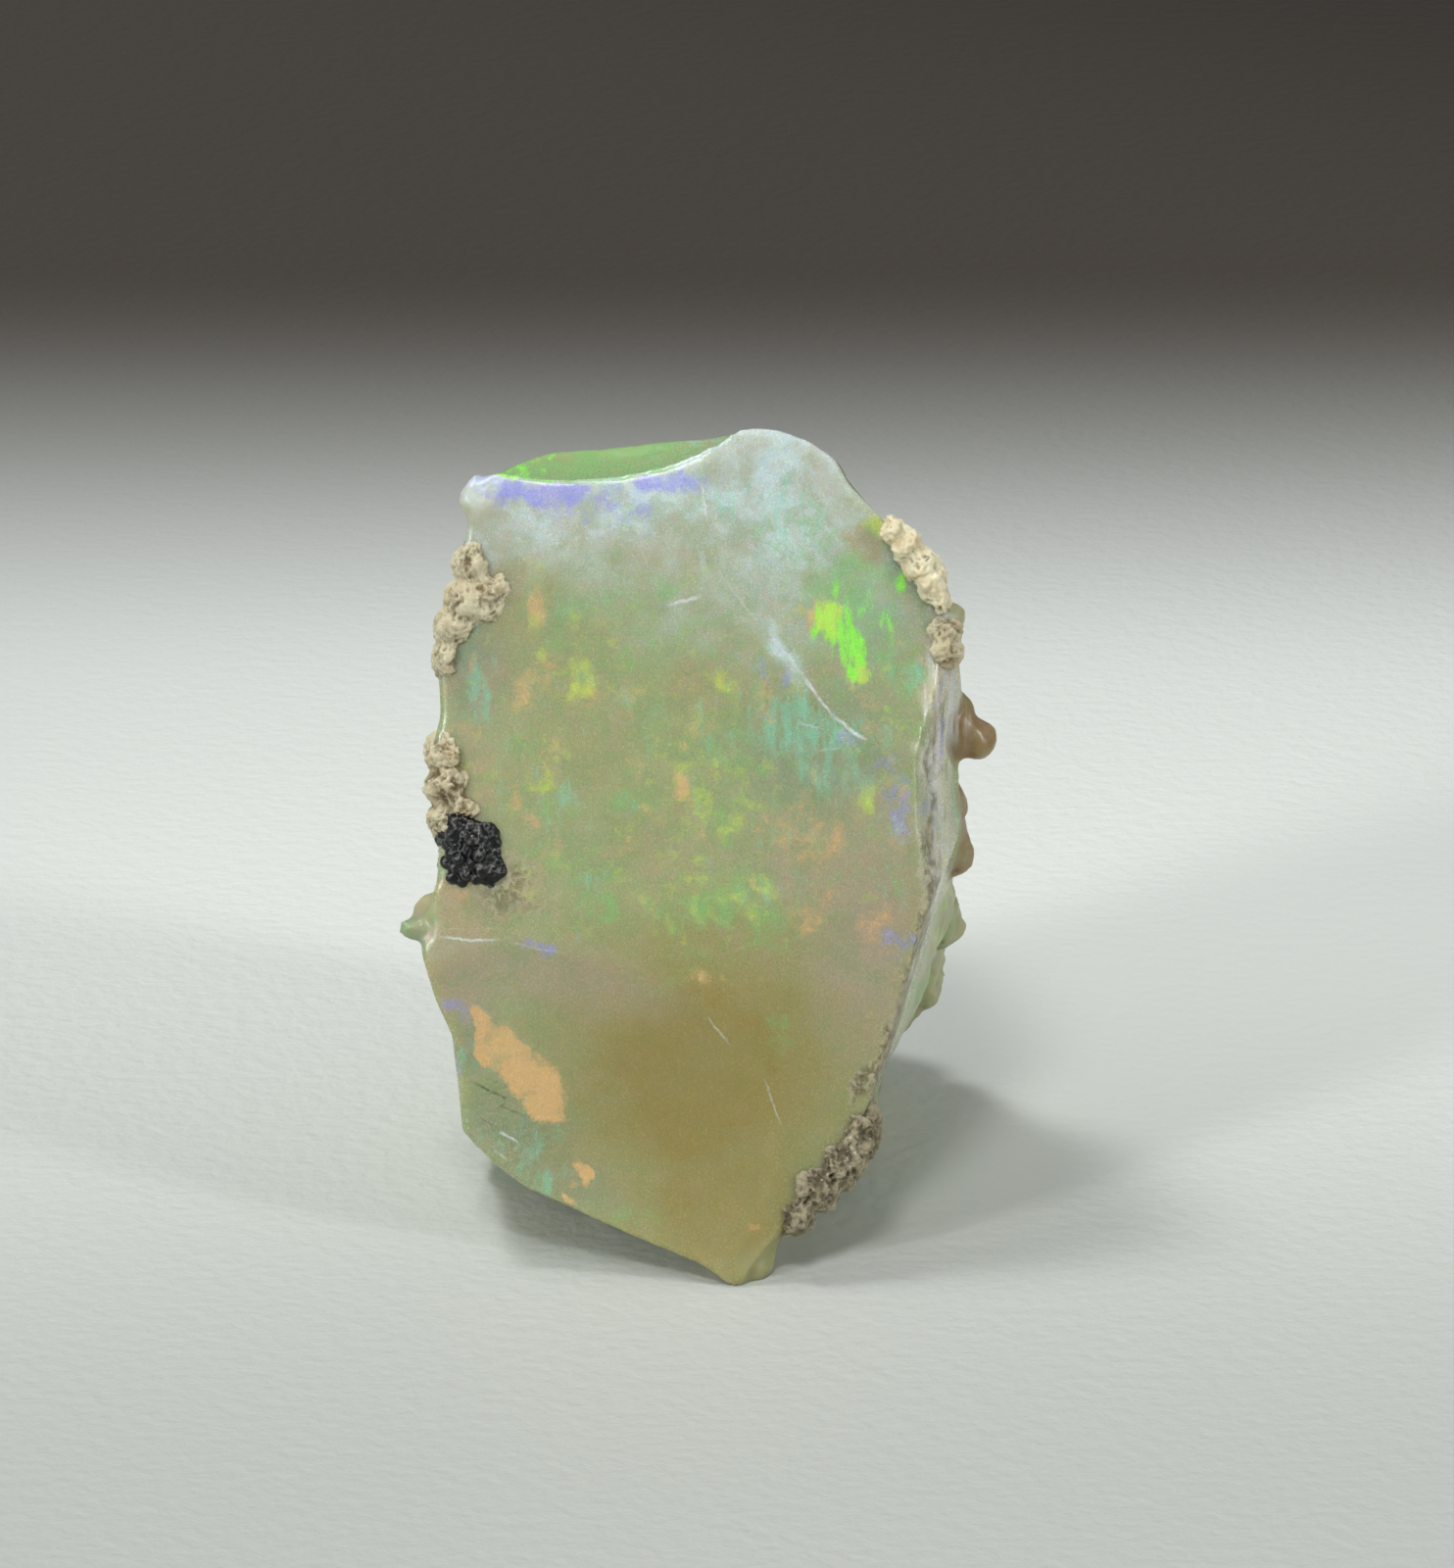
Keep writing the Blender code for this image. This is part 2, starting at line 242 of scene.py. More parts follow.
# %% Add the knobs and grow one skin
KNOBS = {
    "corner_chip": ((-3.92, 0.20, 14.93), (0.28, 0.16, 0.44)),
    "left_spike": ((-5.18, 0.45, 6.80), (0.36, 0.42, 0.30)),
    "left_spike_root": ((-4.72, 0.75, 6.95), (0.55, 0.46, 0.62)),
    "edge_knob": ((5.42, 1.60, 10.36), (0.40, 0.42, 0.42)),
    "edge_knob_root": ((5.16, 1.55, 10.55), (0.34, 0.50, 0.62)),
    "edge_point": ((5.20, 2.30, 8.12), (0.30, 0.42, 0.34)),
    "edge_point_root": ((5.06, 2.20, 8.45), (0.28, 0.50, 0.55)),
    "edge_bead": ((5.08, 1.90, 9.20), (0.24, 0.45, 0.36)),
    "shoulder_bead": ((5.00, 0.75, 12.62), (0.24, 0.34, 0.26)),
    "foot_tip": ((1.26, 0.66, 0.64), (0.36, 0.42, 0.62)),
    "rear_knob": ((4.86, 6.20, 6.95), (0.52, 1.00, 0.66)),
    "rear_low_knob": ((4.48, 7.60, 5.80), (0.50, 1.20, 0.60)),
    "side_knob": ((4.50, 5.20, 8.60), (0.60, 1.10, 0.80)),
    "side_knob_high": ((4.20, 3.60, 12.90), (0.50, 0.90, 0.60)),
    "back_knob": ((0.90, 7.00, 10.40), (1.20, 0.90, 0.80)),
}
ROUND_KNOBS = ("edge_knob", "edge_knob_root", "edge_bead", "left_spike_root", "foot_tip")
BODY_VOXEL = 0.085
CHIP_RADIUS = 1.12


def join(piece, others):
    """Makes the others part of the piece."""
    pick(piece)
    for other in others:
        other.select_set(True)
    bpy.ops.object.join()


def add_chip(centre, half_sizes, turn):
    """A knob with flat facets, as a broken corner has."""
    deselect_all()
    bpy.ops.mesh.primitive_ico_sphere_add(subdivisions=1, radius=CHIP_RADIUS, location=centre)
    chip = bpy.context.object
    chip.rotation_euler = Euler((turn, 2 * turn, 0.6 * turn))
    bpy.ops.object.transform_apply(location=False, rotation=True, scale=False)
    chip.scale = half_sizes
    apply_place(chip)
    return chip


knobs = [add_ball(*KNOBS[name], detail=4) for name in ROUND_KNOBS]
chips = [
    add_chip(*knob, turn=turn)
    for turn, (name, knob) in enumerate(KNOBS.items())
    if name not in ROUND_KNOBS
]
join(opal, knobs + chips)
finish_modifier(opal, "REMESH", mode="VOXEL", voxel_size=BODY_VOXEL)
finish_modifier(opal, "SMOOTH", factor=0.5, iterations=3)
print("skin:", triangles_in(opal), "triangles")

# %% [markdown]
# The skin is still too clean. A glassy break waves a very little. A weathered side is lumpy
# and hackly. Each point is moved along its normal by smooth noise, a little on the front and
# in the shells and more elsewhere. Sculpting would do it too, but noise gives the same stone
# on every run.

# %% Choose how rough the skin is
GLASS_WAVE, GLASS_WAVE_SIZE = 0.035, 1.9
HACKLE, HACKLE_SIZE = 0.15, 0.95
LUMPS, LUMP_SIZE = 0.30, 2.3
FINE_HACKLE, FINE_HACKLE_SIZE = 0.035, 0.28
GLASSY_DEPTH, HACKLY_RISE = 1.6, 3.0
SHELL_TOUCH = 0.06
KNOB_MARGIN = 0.30
FRONT_SOFTNESS, FRONT_BLEND = 0.11, 0.5
OCTAVE_WEIGHT, OCTAVE_STEP = 0.9, 2.1

# %% Read, store and move points
def points_of(piece):
    points = np.empty(len(piece.data.vertices) * 3)
    piece.data.vertices.foreach_get("co", points)
    return points.reshape(-1, 3)


def normals_of(piece):
    normals = np.empty(len(piece.data.vertices) * 3)
    piece.data.vertices.foreach_get("normal", normals)
    return normals.reshape(-1, 3)


def keep_on_points(piece, name, values):
    """Stores a number on each point, for the piece's finish to read."""
    layer = piece.data.attributes.new(name, "FLOAT", "POINT")
    layer.data.foreach_set("value", np.asarray(values, dtype=np.float32))


def move_along_normals(piece, amounts):
    moved = points_of(piece) + normals_of(piece) * amounts[:, None]
    piece.data.vertices.foreach_set("co", moved.ravel())
    piece.data.update()

# %% Tell the glassy parts from the rough ones
def nearness(points, balls, margin=KNOB_MARGIN):
    """1 inside any of the balls, falling to 0 a little way outside them."""
    best = np.zeros(len(points))
    for centre, half_sizes in balls:
        reach = (points - np.array(centre)) / (np.array(half_sizes) + margin)
        best = np.maximum(best, np.clip(3.0 * (1.0 - np.linalg.norm(reach, axis=1)), 0, 1))
    return best


def hackliness(points):
    """0 on the front and in the shells, rising to 1 on the other sides and the back."""
    rough = np.clip((points[:, 1] - GLASSY_DEPTH) / HACKLY_RISE, 0, 1)
    for centre, radius in SHELL_BALLS.values():
        off = np.abs(np.linalg.norm(points - np.array(centre), axis=1) - radius)
        rough[off < SHELL_TOUCH] = 0.0
    return rough


def clouds(points, size, octaves=1):
    """Smooth noise at each point: one octave, or several on top of each other."""
    if octaves == 1:
        return np.array([noise.noise(Vector(p) / size) for p in points])
    shape = (OCTAVE_WEIGHT, OCTAVE_STEP, octaves)
    return np.array([noise.fractal(Vector(p) / size, *shape) for p in points])


def front_surface(points, softness):
    """Depth of the front at each point, with its flat breaks run into each other."""
    depths = []
    for name, ((px, py, pz), (nx, ny, nz)) in FLAT_BREAKS.items():
        if name.startswith("front"):
            depths.append(py - (nx * (points[:, 0] - px) + nz * (points[:, 2] - pz)) / ny)
    depths = np.array(depths)
    if softness == 0:
        return depths.max(axis=0)
    return np.log(np.exp(depths / softness).sum(axis=0)) * softness

# %% Soften the front and roughen the rest
def soften_front(piece):
    """Rounds the creases between the flat breaks of the front, and leaves the shells sharp."""
    points = points_of(piece)
    hard = front_surface(points, 0)
    share = np.clip(1 - (points[:, 1] - hard) / FRONT_BLEND, 0, 1)
    points[:, 1] += (front_surface(points, FRONT_SOFTNESS) - hard) * share
    piece.data.vertices.foreach_set("co", points.ravel())
    piece.data.update()


soften_front(opal)
skin_points = points_of(opal)
hackle_mask = hackliness(skin_points)
knob_mask = nearness(skin_points, KNOBS.values())
rough_mask = np.maximum(hackle_mask, 0.6 * knob_mask)
move_along_normals(
    opal,
    clouds(skin_points, GLASS_WAVE_SIZE) * GLASS_WAVE
    + clouds(skin_points, LUMP_SIZE) * LUMPS * rough_mask
    + clouds(skin_points, HACKLE_SIZE, 3) * HACKLE * rough_mask
    + clouds(skin_points, FINE_HACKLE_SIZE, 2) * FINE_HACKLE * rough_mask,
)
keep_on_points(opal, "hackle", rough_mask)
print("hackly share of the skin:", round(float(rough_mask.mean()), 3))

# %% [markdown]
# Now the colours inside. Opal splits light in layers of tiny packed spheres, and each layer
# shows as a patch of one pure colour. The patches are laid out here as leaning ovals
# in the front's plane: a middle, half sizes, a lean in degrees and a strength. Each class of
# patch is stored on the points as one number from 0 to 1, which is cheaper than hundreds of
# shader nodes, and the finish later frays it with noise. A line has a start, an end, half its
# width and a strength, which is negative for a dark crack.

# %% Place the broad tints
TINTS = {
    "amber": [
        ((0.30, 4.10), (2.60, 2.60), 0, 1.0), ((0.60, 1.60), (1.80, 1.60), 0, 0.9),
        ((2.60, 4.20), (1.30, 1.60), 0, 0.5), ((-2.0, 3.0), (1.6, 1.4), 0, 0.5),
    ],
    "haze_and_ridge_glow": [
        ((-1.60, 15.30), (3.60, 1.55), -4, 1.0), ((1.60, 15.20), (1.90, 2.10), 0, 1.0),
        # This oval is a painted highlight: a pale blue-white glow along the ridge of the right
        # scoop.
        ((1.74, 12.00), (0.20, 0.80), -38, 1.0),
        ((2.00, 13.60), (2.20, 1.60), 0, 0.50), ((-3.70, 14.30), (0.60, 1.10), 0, 0.6),
        ((0.60, 13.70), (2.40, 1.40), 0, 0.5),
    ],
    "mauve": [
        ((3.40, 6.90), (1.00, 2.20), 0, 0.9), ((2.60, 7.80), (1.50, 0.80), 0, 0.6),
        ((-2.90, 14.00), (1.30, 0.40), 0, 0.45), ((-2.30, 5.90), (1.90, 0.55), 10, 0.7),
        ((-4.10, 6.00), (0.60, 1.10), 0, 0.8), ((-3.60, 11.30), (0.8, 0.8), 0, 0.3),
    ],
    "teal_shade": [
        ((-3.50, 2.70), (1.10, 1.10), 0, 0.6), ((-4.10, 4.60), (0.35, 0.50), 0, 0.9),
        ((-4.00, 11.60), (0.60, 1.10), 0, 0.7), ((2.60, 10.10), (1.50, 1.20), 0, 0.75),
        ((-2.40, 2.00), (1.2, 0.5), 25, 0.5), ((3.90, 13.20), (1.0, 1.6), 20, 0.6),
        ((-5.15, 6.80), (0.50, 0.45), 0, 1.0),
    ],
    "grit": [
        ((4.46, 7.10), (0.15, 1.40), 6, 1.5), ((4.06, 5.20), (0.17, 0.90), 22, 1.5),
        ((3.58, 4.10), (0.16, 0.60), 30, 1.4), ((4.62, 9.40), (0.07, 1.30), 1, 1.0),
        ((-3.35, 7.60), (0.50, 0.50), 0, 0.8),
    ],
    "strip": [((4.88, 10.00), (0.36, 2.10), 0, 1.5), ((4.82, 7.20), (0.38, 1.40), 0, 1.3)],
    "beige": [
        ((-3.55, 7.70), (0.95, 0.75), 0, 0.9), ((-3.30, 13.20), (0.45, 0.80), 0, 0.7),
        ((-4.00, 9.40), (0.45, 1.50), 0, 0.7), ((-4.50, 7.10), (0.70, 0.60), 0, 0.9),
        ((3.30, 14.10), (0.35, 0.60), 35, 0.7), ((1.40, 0.60), (0.60, 0.50), 0, 0.4),
    ],
}
print("tints:", ", ".join(TINTS))

# %% Place the flashes
FLASHES = {
    "green": [
        ((-0.90, 12.60), (1.90, 1.20), 0, 0.55), ((0.55, 7.20), (1.05, 0.60), 0, 0.80),
        ((1.50, 7.00), (0.55, 0.60), 0, 0.70), ((-1.56, 7.20), (0.50, 0.45), 0, 0.65),
        ((0.74, 8.60), (0.45, 0.50), 0, 0.58), ((-0.92, 9.28), (0.65, 0.40), 0, 0.60),
        ((-1.80, 7.90), (0.80, 0.60), 0, 0.48), ((1.43, 9.69), (0.14, 0.22), 0, 0.80),
        ((0.92, 11.10), (0.60, 0.70), 0, 0.52), ((-1.00, 1.40), (0.65, 0.35), 0, 0.55),
        ((1.90, 4.80), (0.35, 0.45), 0, 0.50), ((-2.60, 10.50), (1.00, 0.90), 0, 0.48),
        ((2.95, 13.05), (0.80, 0.90), -25, 0.88), ((4.15, 11.55), (0.38, 0.50), 0, 0.72),
        ((3.66, 14.30), (0.35, 0.35), 0, 0.50), ((0.40, 10.30), (1.40, 1.00), 0, 0.48),
        ((1.60, 11.90), (1.10, 0.80), 0, 0.40), ((0.0, 6.0), (1.2, 0.6), 0, 0.42),
        ((2.20, 14.00), (1.10, 0.80), 0, 0.50), ((3.60, 12.60), (0.50, 1.10), 0, 0.62),
    ],
    "blaze": [
        ((2.80, 12.52), (0.36, 0.46), -25, 0.80), ((3.12, 12.02), (0.32, 0.56), -32, 0.90),
        ((2.95, 13.00), (0.55, 0.50), -20, 0.56), ((4.02, 13.28), (0.20, 0.34), 10, 0.80),
        ((3.80, 12.46), (0.18, 0.36), 0, 0.66), ((3.50, 12.60), (0.30, 0.60), 0, 0.48),
    ],
    "lime": [
        ((-2.06, 11.50), (0.52, 0.46), 0, 0.68), ((2.66, 12.62), (0.26, 0.40), -25, 1.0),
        ((3.32, 11.62), (0.15, 0.20), 0, 0.95), ((0.74, 11.40), (0.24, 0.42), 0, 0.58),
        ((3.73, 14.37), (0.30, 0.30), 0, 0.72), ((-1.90, 12.50), (0.36, 0.36), 0, 0.48),
        ((-2.75, 9.65), (0.30, 0.40), 0, 0.54), ((1.35, 7.55), (0.40, 0.34), 0, 0.56),
        ((3.31, 9.14), (0.16, 0.52), 0, 0.66), ((0.5, 9.3), (1.7, 1.0), 0, 0.44),
        ((0.2, 7.3), (1.6, 0.9), 0, 0.42),
    ],
    "orange": [
        ((-2.70, 12.70), (0.18, 0.42), 0, 0.66), ((-2.57, 11.80), (0.40, 0.30), 0, 0.64),
        ((-0.12, 9.46), (0.16, 0.36), 0, 1.0), ((0.70, 11.42), (0.14, 0.30), 0, 0.64),
        ((0.40, 10.50), (0.30, 0.20), 0, 0.58), ((2.38, 12.66), (0.13, 0.32), 0, 1.0),
        ((-3.00, 9.30), (0.18, 0.36), 0, 0.60), ((-1.00, 11.25), (0.34, 0.28), 0, 0.56),
        ((-2.35, 10.05), (0.60, 0.50), 0, 0.54), ((1.25, 7.40), (0.12, 0.18), 0, 0.66),
        ((2.15, 7.00), (0.44, 0.34), 0, 0.60), ((0.46, 5.80), (0.46, 0.28), 0, 0.56),
        ((3.50, 6.80), (0.40, 0.46), 0, 0.60), ((1.23, 1.20), (0.15, 0.10), 0, 0.80),
        ((2.20, 8.50), (1.10, 0.60), 0, 0.52), ((-0.3, 10.0), (0.9, 0.6), 0, 0.40),
        ((4.92, 6.95), (0.18, 1.15), 4, 0.95), ((-2.9, 11.2), (0.6, 0.5), 0, 0.50),
        ((1.60, 12.60), (0.60, 0.50), 0, 0.42),
    ],
    "peach": [
        ((-3.12, 4.22), (0.36, 0.92), -44, 2.2), ((-3.88, 4.86), (0.20, 0.50), -15, 2.2),
        ((-2.72, 3.52), (0.36, 0.26), -30, 2.0), ((-1.95, 2.12), (0.08, 0.26), -8, 1.6),
        ((-2.12, 1.78), (0.07, 0.12), 0, 1.4),
    ],
    "teal": [
        ((2.20, 10.45), (1.15, 0.60), 25, 0.78), ((2.70, 9.80), (1.00, 0.70), 0, 0.56),
        ((-3.86, 10.90), (0.30, 0.55), 0, 0.66), ((-3.90, 11.40), (0.30, 0.34), 0, 0.66),
        ((-2.35, 9.30), (0.40, 0.34), 0, 0.56), ((-3.44, 9.56), (0.10, 0.12), 0, 0.95),
        ((-3.30, 2.55), (0.90, 0.55), -25, 0.50), ((-4.12, 4.45), (0.16, 0.30), 0, 0.70),
        ((1.90, 14.60), (0.90, 0.70), 0, 0.48), ((4.25, 11.50), (0.35, 0.40), 0, 0.62),
        ((-2.60, 2.00), (0.50, 0.25), -25, 0.60), ((0.80, 14.90), (0.60, 0.60), 0, 0.42),
    ],
    "violet": [
        ((-2.60, 15.10), (1.45, 0.42), 0, 0.92), ((-0.60, 15.26), (1.00, 0.30), 8, 0.78),
        ((-1.60, 14.60), (1.60, 0.40), 0, 0.50), ((4.00, 9.10), (0.45, 0.70), 0, 0.60),
        ((-2.80, 6.40), (0.45, 0.14), 8, 0.60), ((-4.40, 5.35), (0.26, 0.26), 0, 0.62),
        ((-4.28, 4.10), (0.18, 0.28), 0, 0.62), ((4.00, 6.55), (0.25, 0.40), 0, 0.55),
        ((3.90, 9.95), (0.60, 0.16), -20, 0.62), ((4.78, 10.60), (0.12, 1.30), 0, 0.55),
        ((1.60, 11.60), (0.30, 0.70), -38, 0.46), ((3.0, 10.3), (0.5, 0.2), 0, 0.5),
    ],
}
print("flashes:", ", ".join(FLASHES))

# %% Place the ripples, cracks, scratches and painted highlights
RIPPLED = [((-3.30, 2.90), (0.90, 1.00), 0, 1.2), ((2.50, 10.0), (0.70, 0.70), 0, 0.3)]
# The four pale lines that run in a chain from (0.70, 13.36) down to (3.46, 10.27) follow the rim
# of the right scoop: they are painted highlights along that ridge. The pale line from (-2.79,
# 15.70) to (0.10, 15.90) is a painted highlight along the top edge.
LINES = [
    ((0.29, 15.20), (0.40, 14.37), 0.035, 0.9), ((0.20, 14.05), (0.46, 13.30), 0.090, 0.45),
    ((-0.39, 12.81), (0.33, 13.05), 0.055, 0.9), ((0.70, 13.36), (1.38, 12.50), 0.035, 0.4),
    ((1.50, 12.42), (2.24, 11.46), 0.040, 0.9), ((2.16, 11.56), (2.78, 10.72), 0.045, 1.1),
    ((2.70, 10.80), (3.46, 10.27), 0.050, 1.1), ((2.00, 10.66), (2.60, 10.52), 0.040, 0.45),
    ((2.39, 10.11), (3.05, 10.18), 0.035, 0.35), ((0.33, 5.24), (0.86, 4.56), 0.030, 0.6),
    ((1.43, 4.08), (1.82, 3.03), 0.030, 0.5), ((-4.70, 6.62), (-3.40, 6.57), 0.040, 0.9),
    ((-3.45, 6.56), (-2.30, 6.32), 0.030, 0.5), ((-3.55, 2.98), (-3.11, 2.74), 0.035, 0.9),
    ((-3.68, 2.67), (-3.31, 2.39), 0.030, 0.5), ((-2.79, 15.70), (0.10, 15.90), 0.035, 0.5),
    ((-4.08, 3.93), (-3.22, 3.51), 0.035, -1.0), ((-3.86, 3.62), (-2.94, 3.21), 0.025, -0.7),
    ((-3.95, 3.25), (-3.50, 2.99), 0.025, -0.6), ((4.38, 6.93), (4.14, 5.64), 0.030, -0.7),
    ((3.90, 4.91), (3.49, 4.08), 0.030, -0.7),
]
LINE_REACH = 0.17
LINE_END_FADE, LINE_SIDE_FADE = 0.3, 0.06
FAR_ASIDE = 9.0
print("cracks and scratches:", len(LINES))

# %% Spread all of them over the points
FRAY, FRAY_SIZE = 0.26, 0.70
FRONT_REACH = 1.3
SCATTER_SIZE, SCATTER_GAIN = 1.5, 1.8
MEADOW_SIZE, MEADOW_GAIN = 0.6, 1.4
SCATTER_MOST = {"green": 0.58, "lime": 0.40, "orange": 0.50, "teal": 0.50, "violet": 0.42}
MEADOW_MOST = {"green": 0.44, "lime": 0.34, "orange": 0.40, "teal": 0.34, "violet": 0.0}
DISH_RIM = 0.03


def oval(across, up, middle, half_sizes, lean):
    """1 in the middle half of a leaning oval, 0.5 at its rim, 0 half as far out again."""
    turn = math.radians(lean)
    dx, dz = across - middle[0], up - middle[1]
    along = (dx * math.cos(turn) - dz * math.sin(turn)) / half_sizes[0]
    beyond = (dx * math.sin(turn) + dz * math.cos(turn)) / half_sizes[1]
    return np.clip(1.5 - np.hypot(along, beyond), 0, 1)


def lay_out(points, ovals):
    """One number a point, from ovals on frayed coordinates, on the front of the stone only."""
    across = points[:, 0] + frays[0] * FRAY
    up = points[:, 2] + frays[1] * FRAY
    shares = [strength * oval(across, up, *where) for *where, strength in ovals]
    return np.minimum(np.max(shares, axis=0), 1.0) * on_front


def lay_lines(points):
    """For the line that counts most at each point: how far aside it is, in half widths and
    with a sign, and its strength, which fades at its ends and beside it."""
    aside, strongest = np.full(len(points), FAR_ASIDE), np.zeros(len(points))
    for start, end, half_width, strength in LINES:
        way = np.array(end) - np.array(start)
        length = np.linalg.norm(way)
        way /= length
        reach = points[:, [0, 2]] - np.array(start)
        along, off = reach @ way, reach @ np.array([way[1], -way[0]])
        fade = np.clip(np.minimum(along, length - along) / (LINE_END_FADE * length), 0, 1)
        fade *= np.clip((LINE_REACH + half_width - np.abs(off)) / LINE_SIDE_FADE, 0, 1)
        stronger = fade * abs(strength) > np.abs(strongest)
        aside[stronger] = off[stronger] / half_width
        strongest[stronger] = (fade * strength)[stronger]
    return aside, strongest * on_front


def scattered(points, offset, name):
    """Patches at random: large ones through the rest of the stone, small ones on the front."""
    large = clouds(points + offset, SCATTER_SIZE, 3) * SCATTER_GAIN
    small = clouds(points + offset, MEADOW_SIZE, 3) * MEADOW_GAIN
    large = np.clip(large, 0, SCATTER_MOST[name])
    small = np.clip(small, 0, MEADOW_MOST[name])
    return (large * (1 - on_front) * (1 - knob_mask) + small * meadow) * (1 - in_dish)


def ledge(values, low, high):
    """0 below low, 1 above high, and a straight rise between them."""
    return np.clip((values - low) / (high - low), 0, 1)


def dish_share(points):
    """1 on the scoop along the top edge."""
    centre, half_sizes = SCOOPS["top_dish"]
    reach = np.linalg.norm((points - np.array(centre)) / np.array(half_sizes), axis=1)
    return 1 - ledge(np.abs(reach - 1), DISH_RIM, 2 * DISH_RIM)

# %% Store the colours on the skin
skin_points = points_of(opal)
frays = [clouds(skin_points + shift, FRAY_SIZE, 3) for shift in (0.0, 40.0)]
depth_in = skin_points[:, 1] - front_surface(skin_points, FRONT_SOFTNESS)
on_front = np.clip((FRONT_REACH - depth_in) / 0.5, 0, 1)
across, up = skin_points[:, 0], skin_points[:, 2]
meadow = on_front * ledge(up, 5.6, 7.4) * (1 - 0.7 * ledge(up, 12.6, 14.2))
in_dish = dish_share(skin_points)
dish_light = {
    "blaze": 0.62 * (1 - ledge(across, -3.2, -1.8)),
    "green": 0.95 * (1 - ledge(across, -0.4, 0.8)),
    "teal": 0.55 * ledge(across, -1.6, 0.4),
}
for name, ovals in TINTS.items():
    keep_on_points(opal, name, lay_out(skin_points, ovals))
for index, (name, ovals) in enumerate(FLASHES.items()):
    patches = lay_out(skin_points, ovals) * (1 - in_dish)
    if name in MEADOW_MOST:
        patches = np.maximum(patches, scattered(skin_points, 15.0 * (index + 1), name))
    keep_on_points(opal, name, patches + in_dish * dish_light.get(name, 0.0))
right_knobs = [KNOBS[name] for name in KNOBS if name.startswith("edge")]
keep_on_points(opal, "brown", nearness(skin_points, right_knobs))
keep_on_points(opal, "ripples", lay_out(skin_points, RIPPLED))
for name, values in zip(("line_aside", "line_strength"), lay_lines(skin_points)):
    keep_on_points(opal, name, values)
print("kinds of patch stored:", len(TINTS) + len(FLASHES))

# %% [markdown]
# The crusts are what is left of the host rock that the opal grew in: pale, dull and full of
# pits. Each starts as a row of lumps, with smaller lumps round them so that its border is
# ragged. A fine remesh and two sizes of noise make it craggy. Three of the crusts are a bit
# smoother, and the one at the upper right is the palest, so each crust can have its own share
# of that noise and its own tone.

# %% Grow a ragged lump and make it craggy
CRAG, CRAG_SIZE = 0.09, 0.34
PIT, PIT_SIZE = 0.10, 0.13
SATELLITES, SATELLITE_REACH, SATELLITE_SIZES = 5, 0.66, (0.30, 0.50)
LUMP_SHARE = 0.94
CRUST_VOXEL = 0.04
SMOOTHER = {"crust_right_upper": 0.8, "crust_right_middle": 0.7, "crust_left_upper": 0.75}
PALENESS = {"crust_right_upper": 0.22, "crust_right_middle": 0.09, "crust_left_upper": 0.07}
GREY_TONES = {
    "crust_left_upper": 0.45, "crust_left_middle": 0.45, "crust_right_middle": 0.40,
    "crust_right_foot": 1.0, "crust_back_lower": 0.7,
}


def ragged_lump(name, lumps, seed):
    """The lumps, with smaller ones scattered round each, under one skin."""
    dice = random.Random(seed)
    balls = []
    for centre, half_sizes in lumps:
        balls.append(add_ball(centre, Vector(half_sizes) * LUMP_SHARE, detail=4))
        for _ in range(SATELLITES):
            way = Vector([dice.uniform(-1, 1) for _ in range(3)]).normalized()
            reach = Vector([way[i] * half_sizes[i] * SATELLITE_REACH for i in range(3)])
            small = Vector(half_sizes) * dice.uniform(*SATELLITE_SIZES)
            balls.append(add_ball(Vector(centre) + reach, small, detail=3))
    lump = balls[0]
    join(lump, balls[1:])
    lump.name = name
    finish_modifier(lump, "REMESH", mode="VOXEL", voxel_size=CRUST_VOXEL)
    return lump


def make_craggy(lump):
    points = points_of(lump)
    crags = clouds(points, CRAG_SIZE, 3)
    pits = np.abs(clouds(points, PIT_SIZE, 2))
    share = SMOOTHER.get(lump.name, 1.0)
    move_along_normals(lump, (crags * CRAG - pits * PIT) * share)
    relief = (0.5 * crags - 0.7 * (pits - 0.2)) * share
    keep_on_points(lump, "height", np.clip(0.55 + PALENESS.get(lump.name, 0.0) + relief, 0, 1))
    keep_on_points(lump, "grey", np.full(len(points), GREY_TONES.get(lump.name, 0.0)))

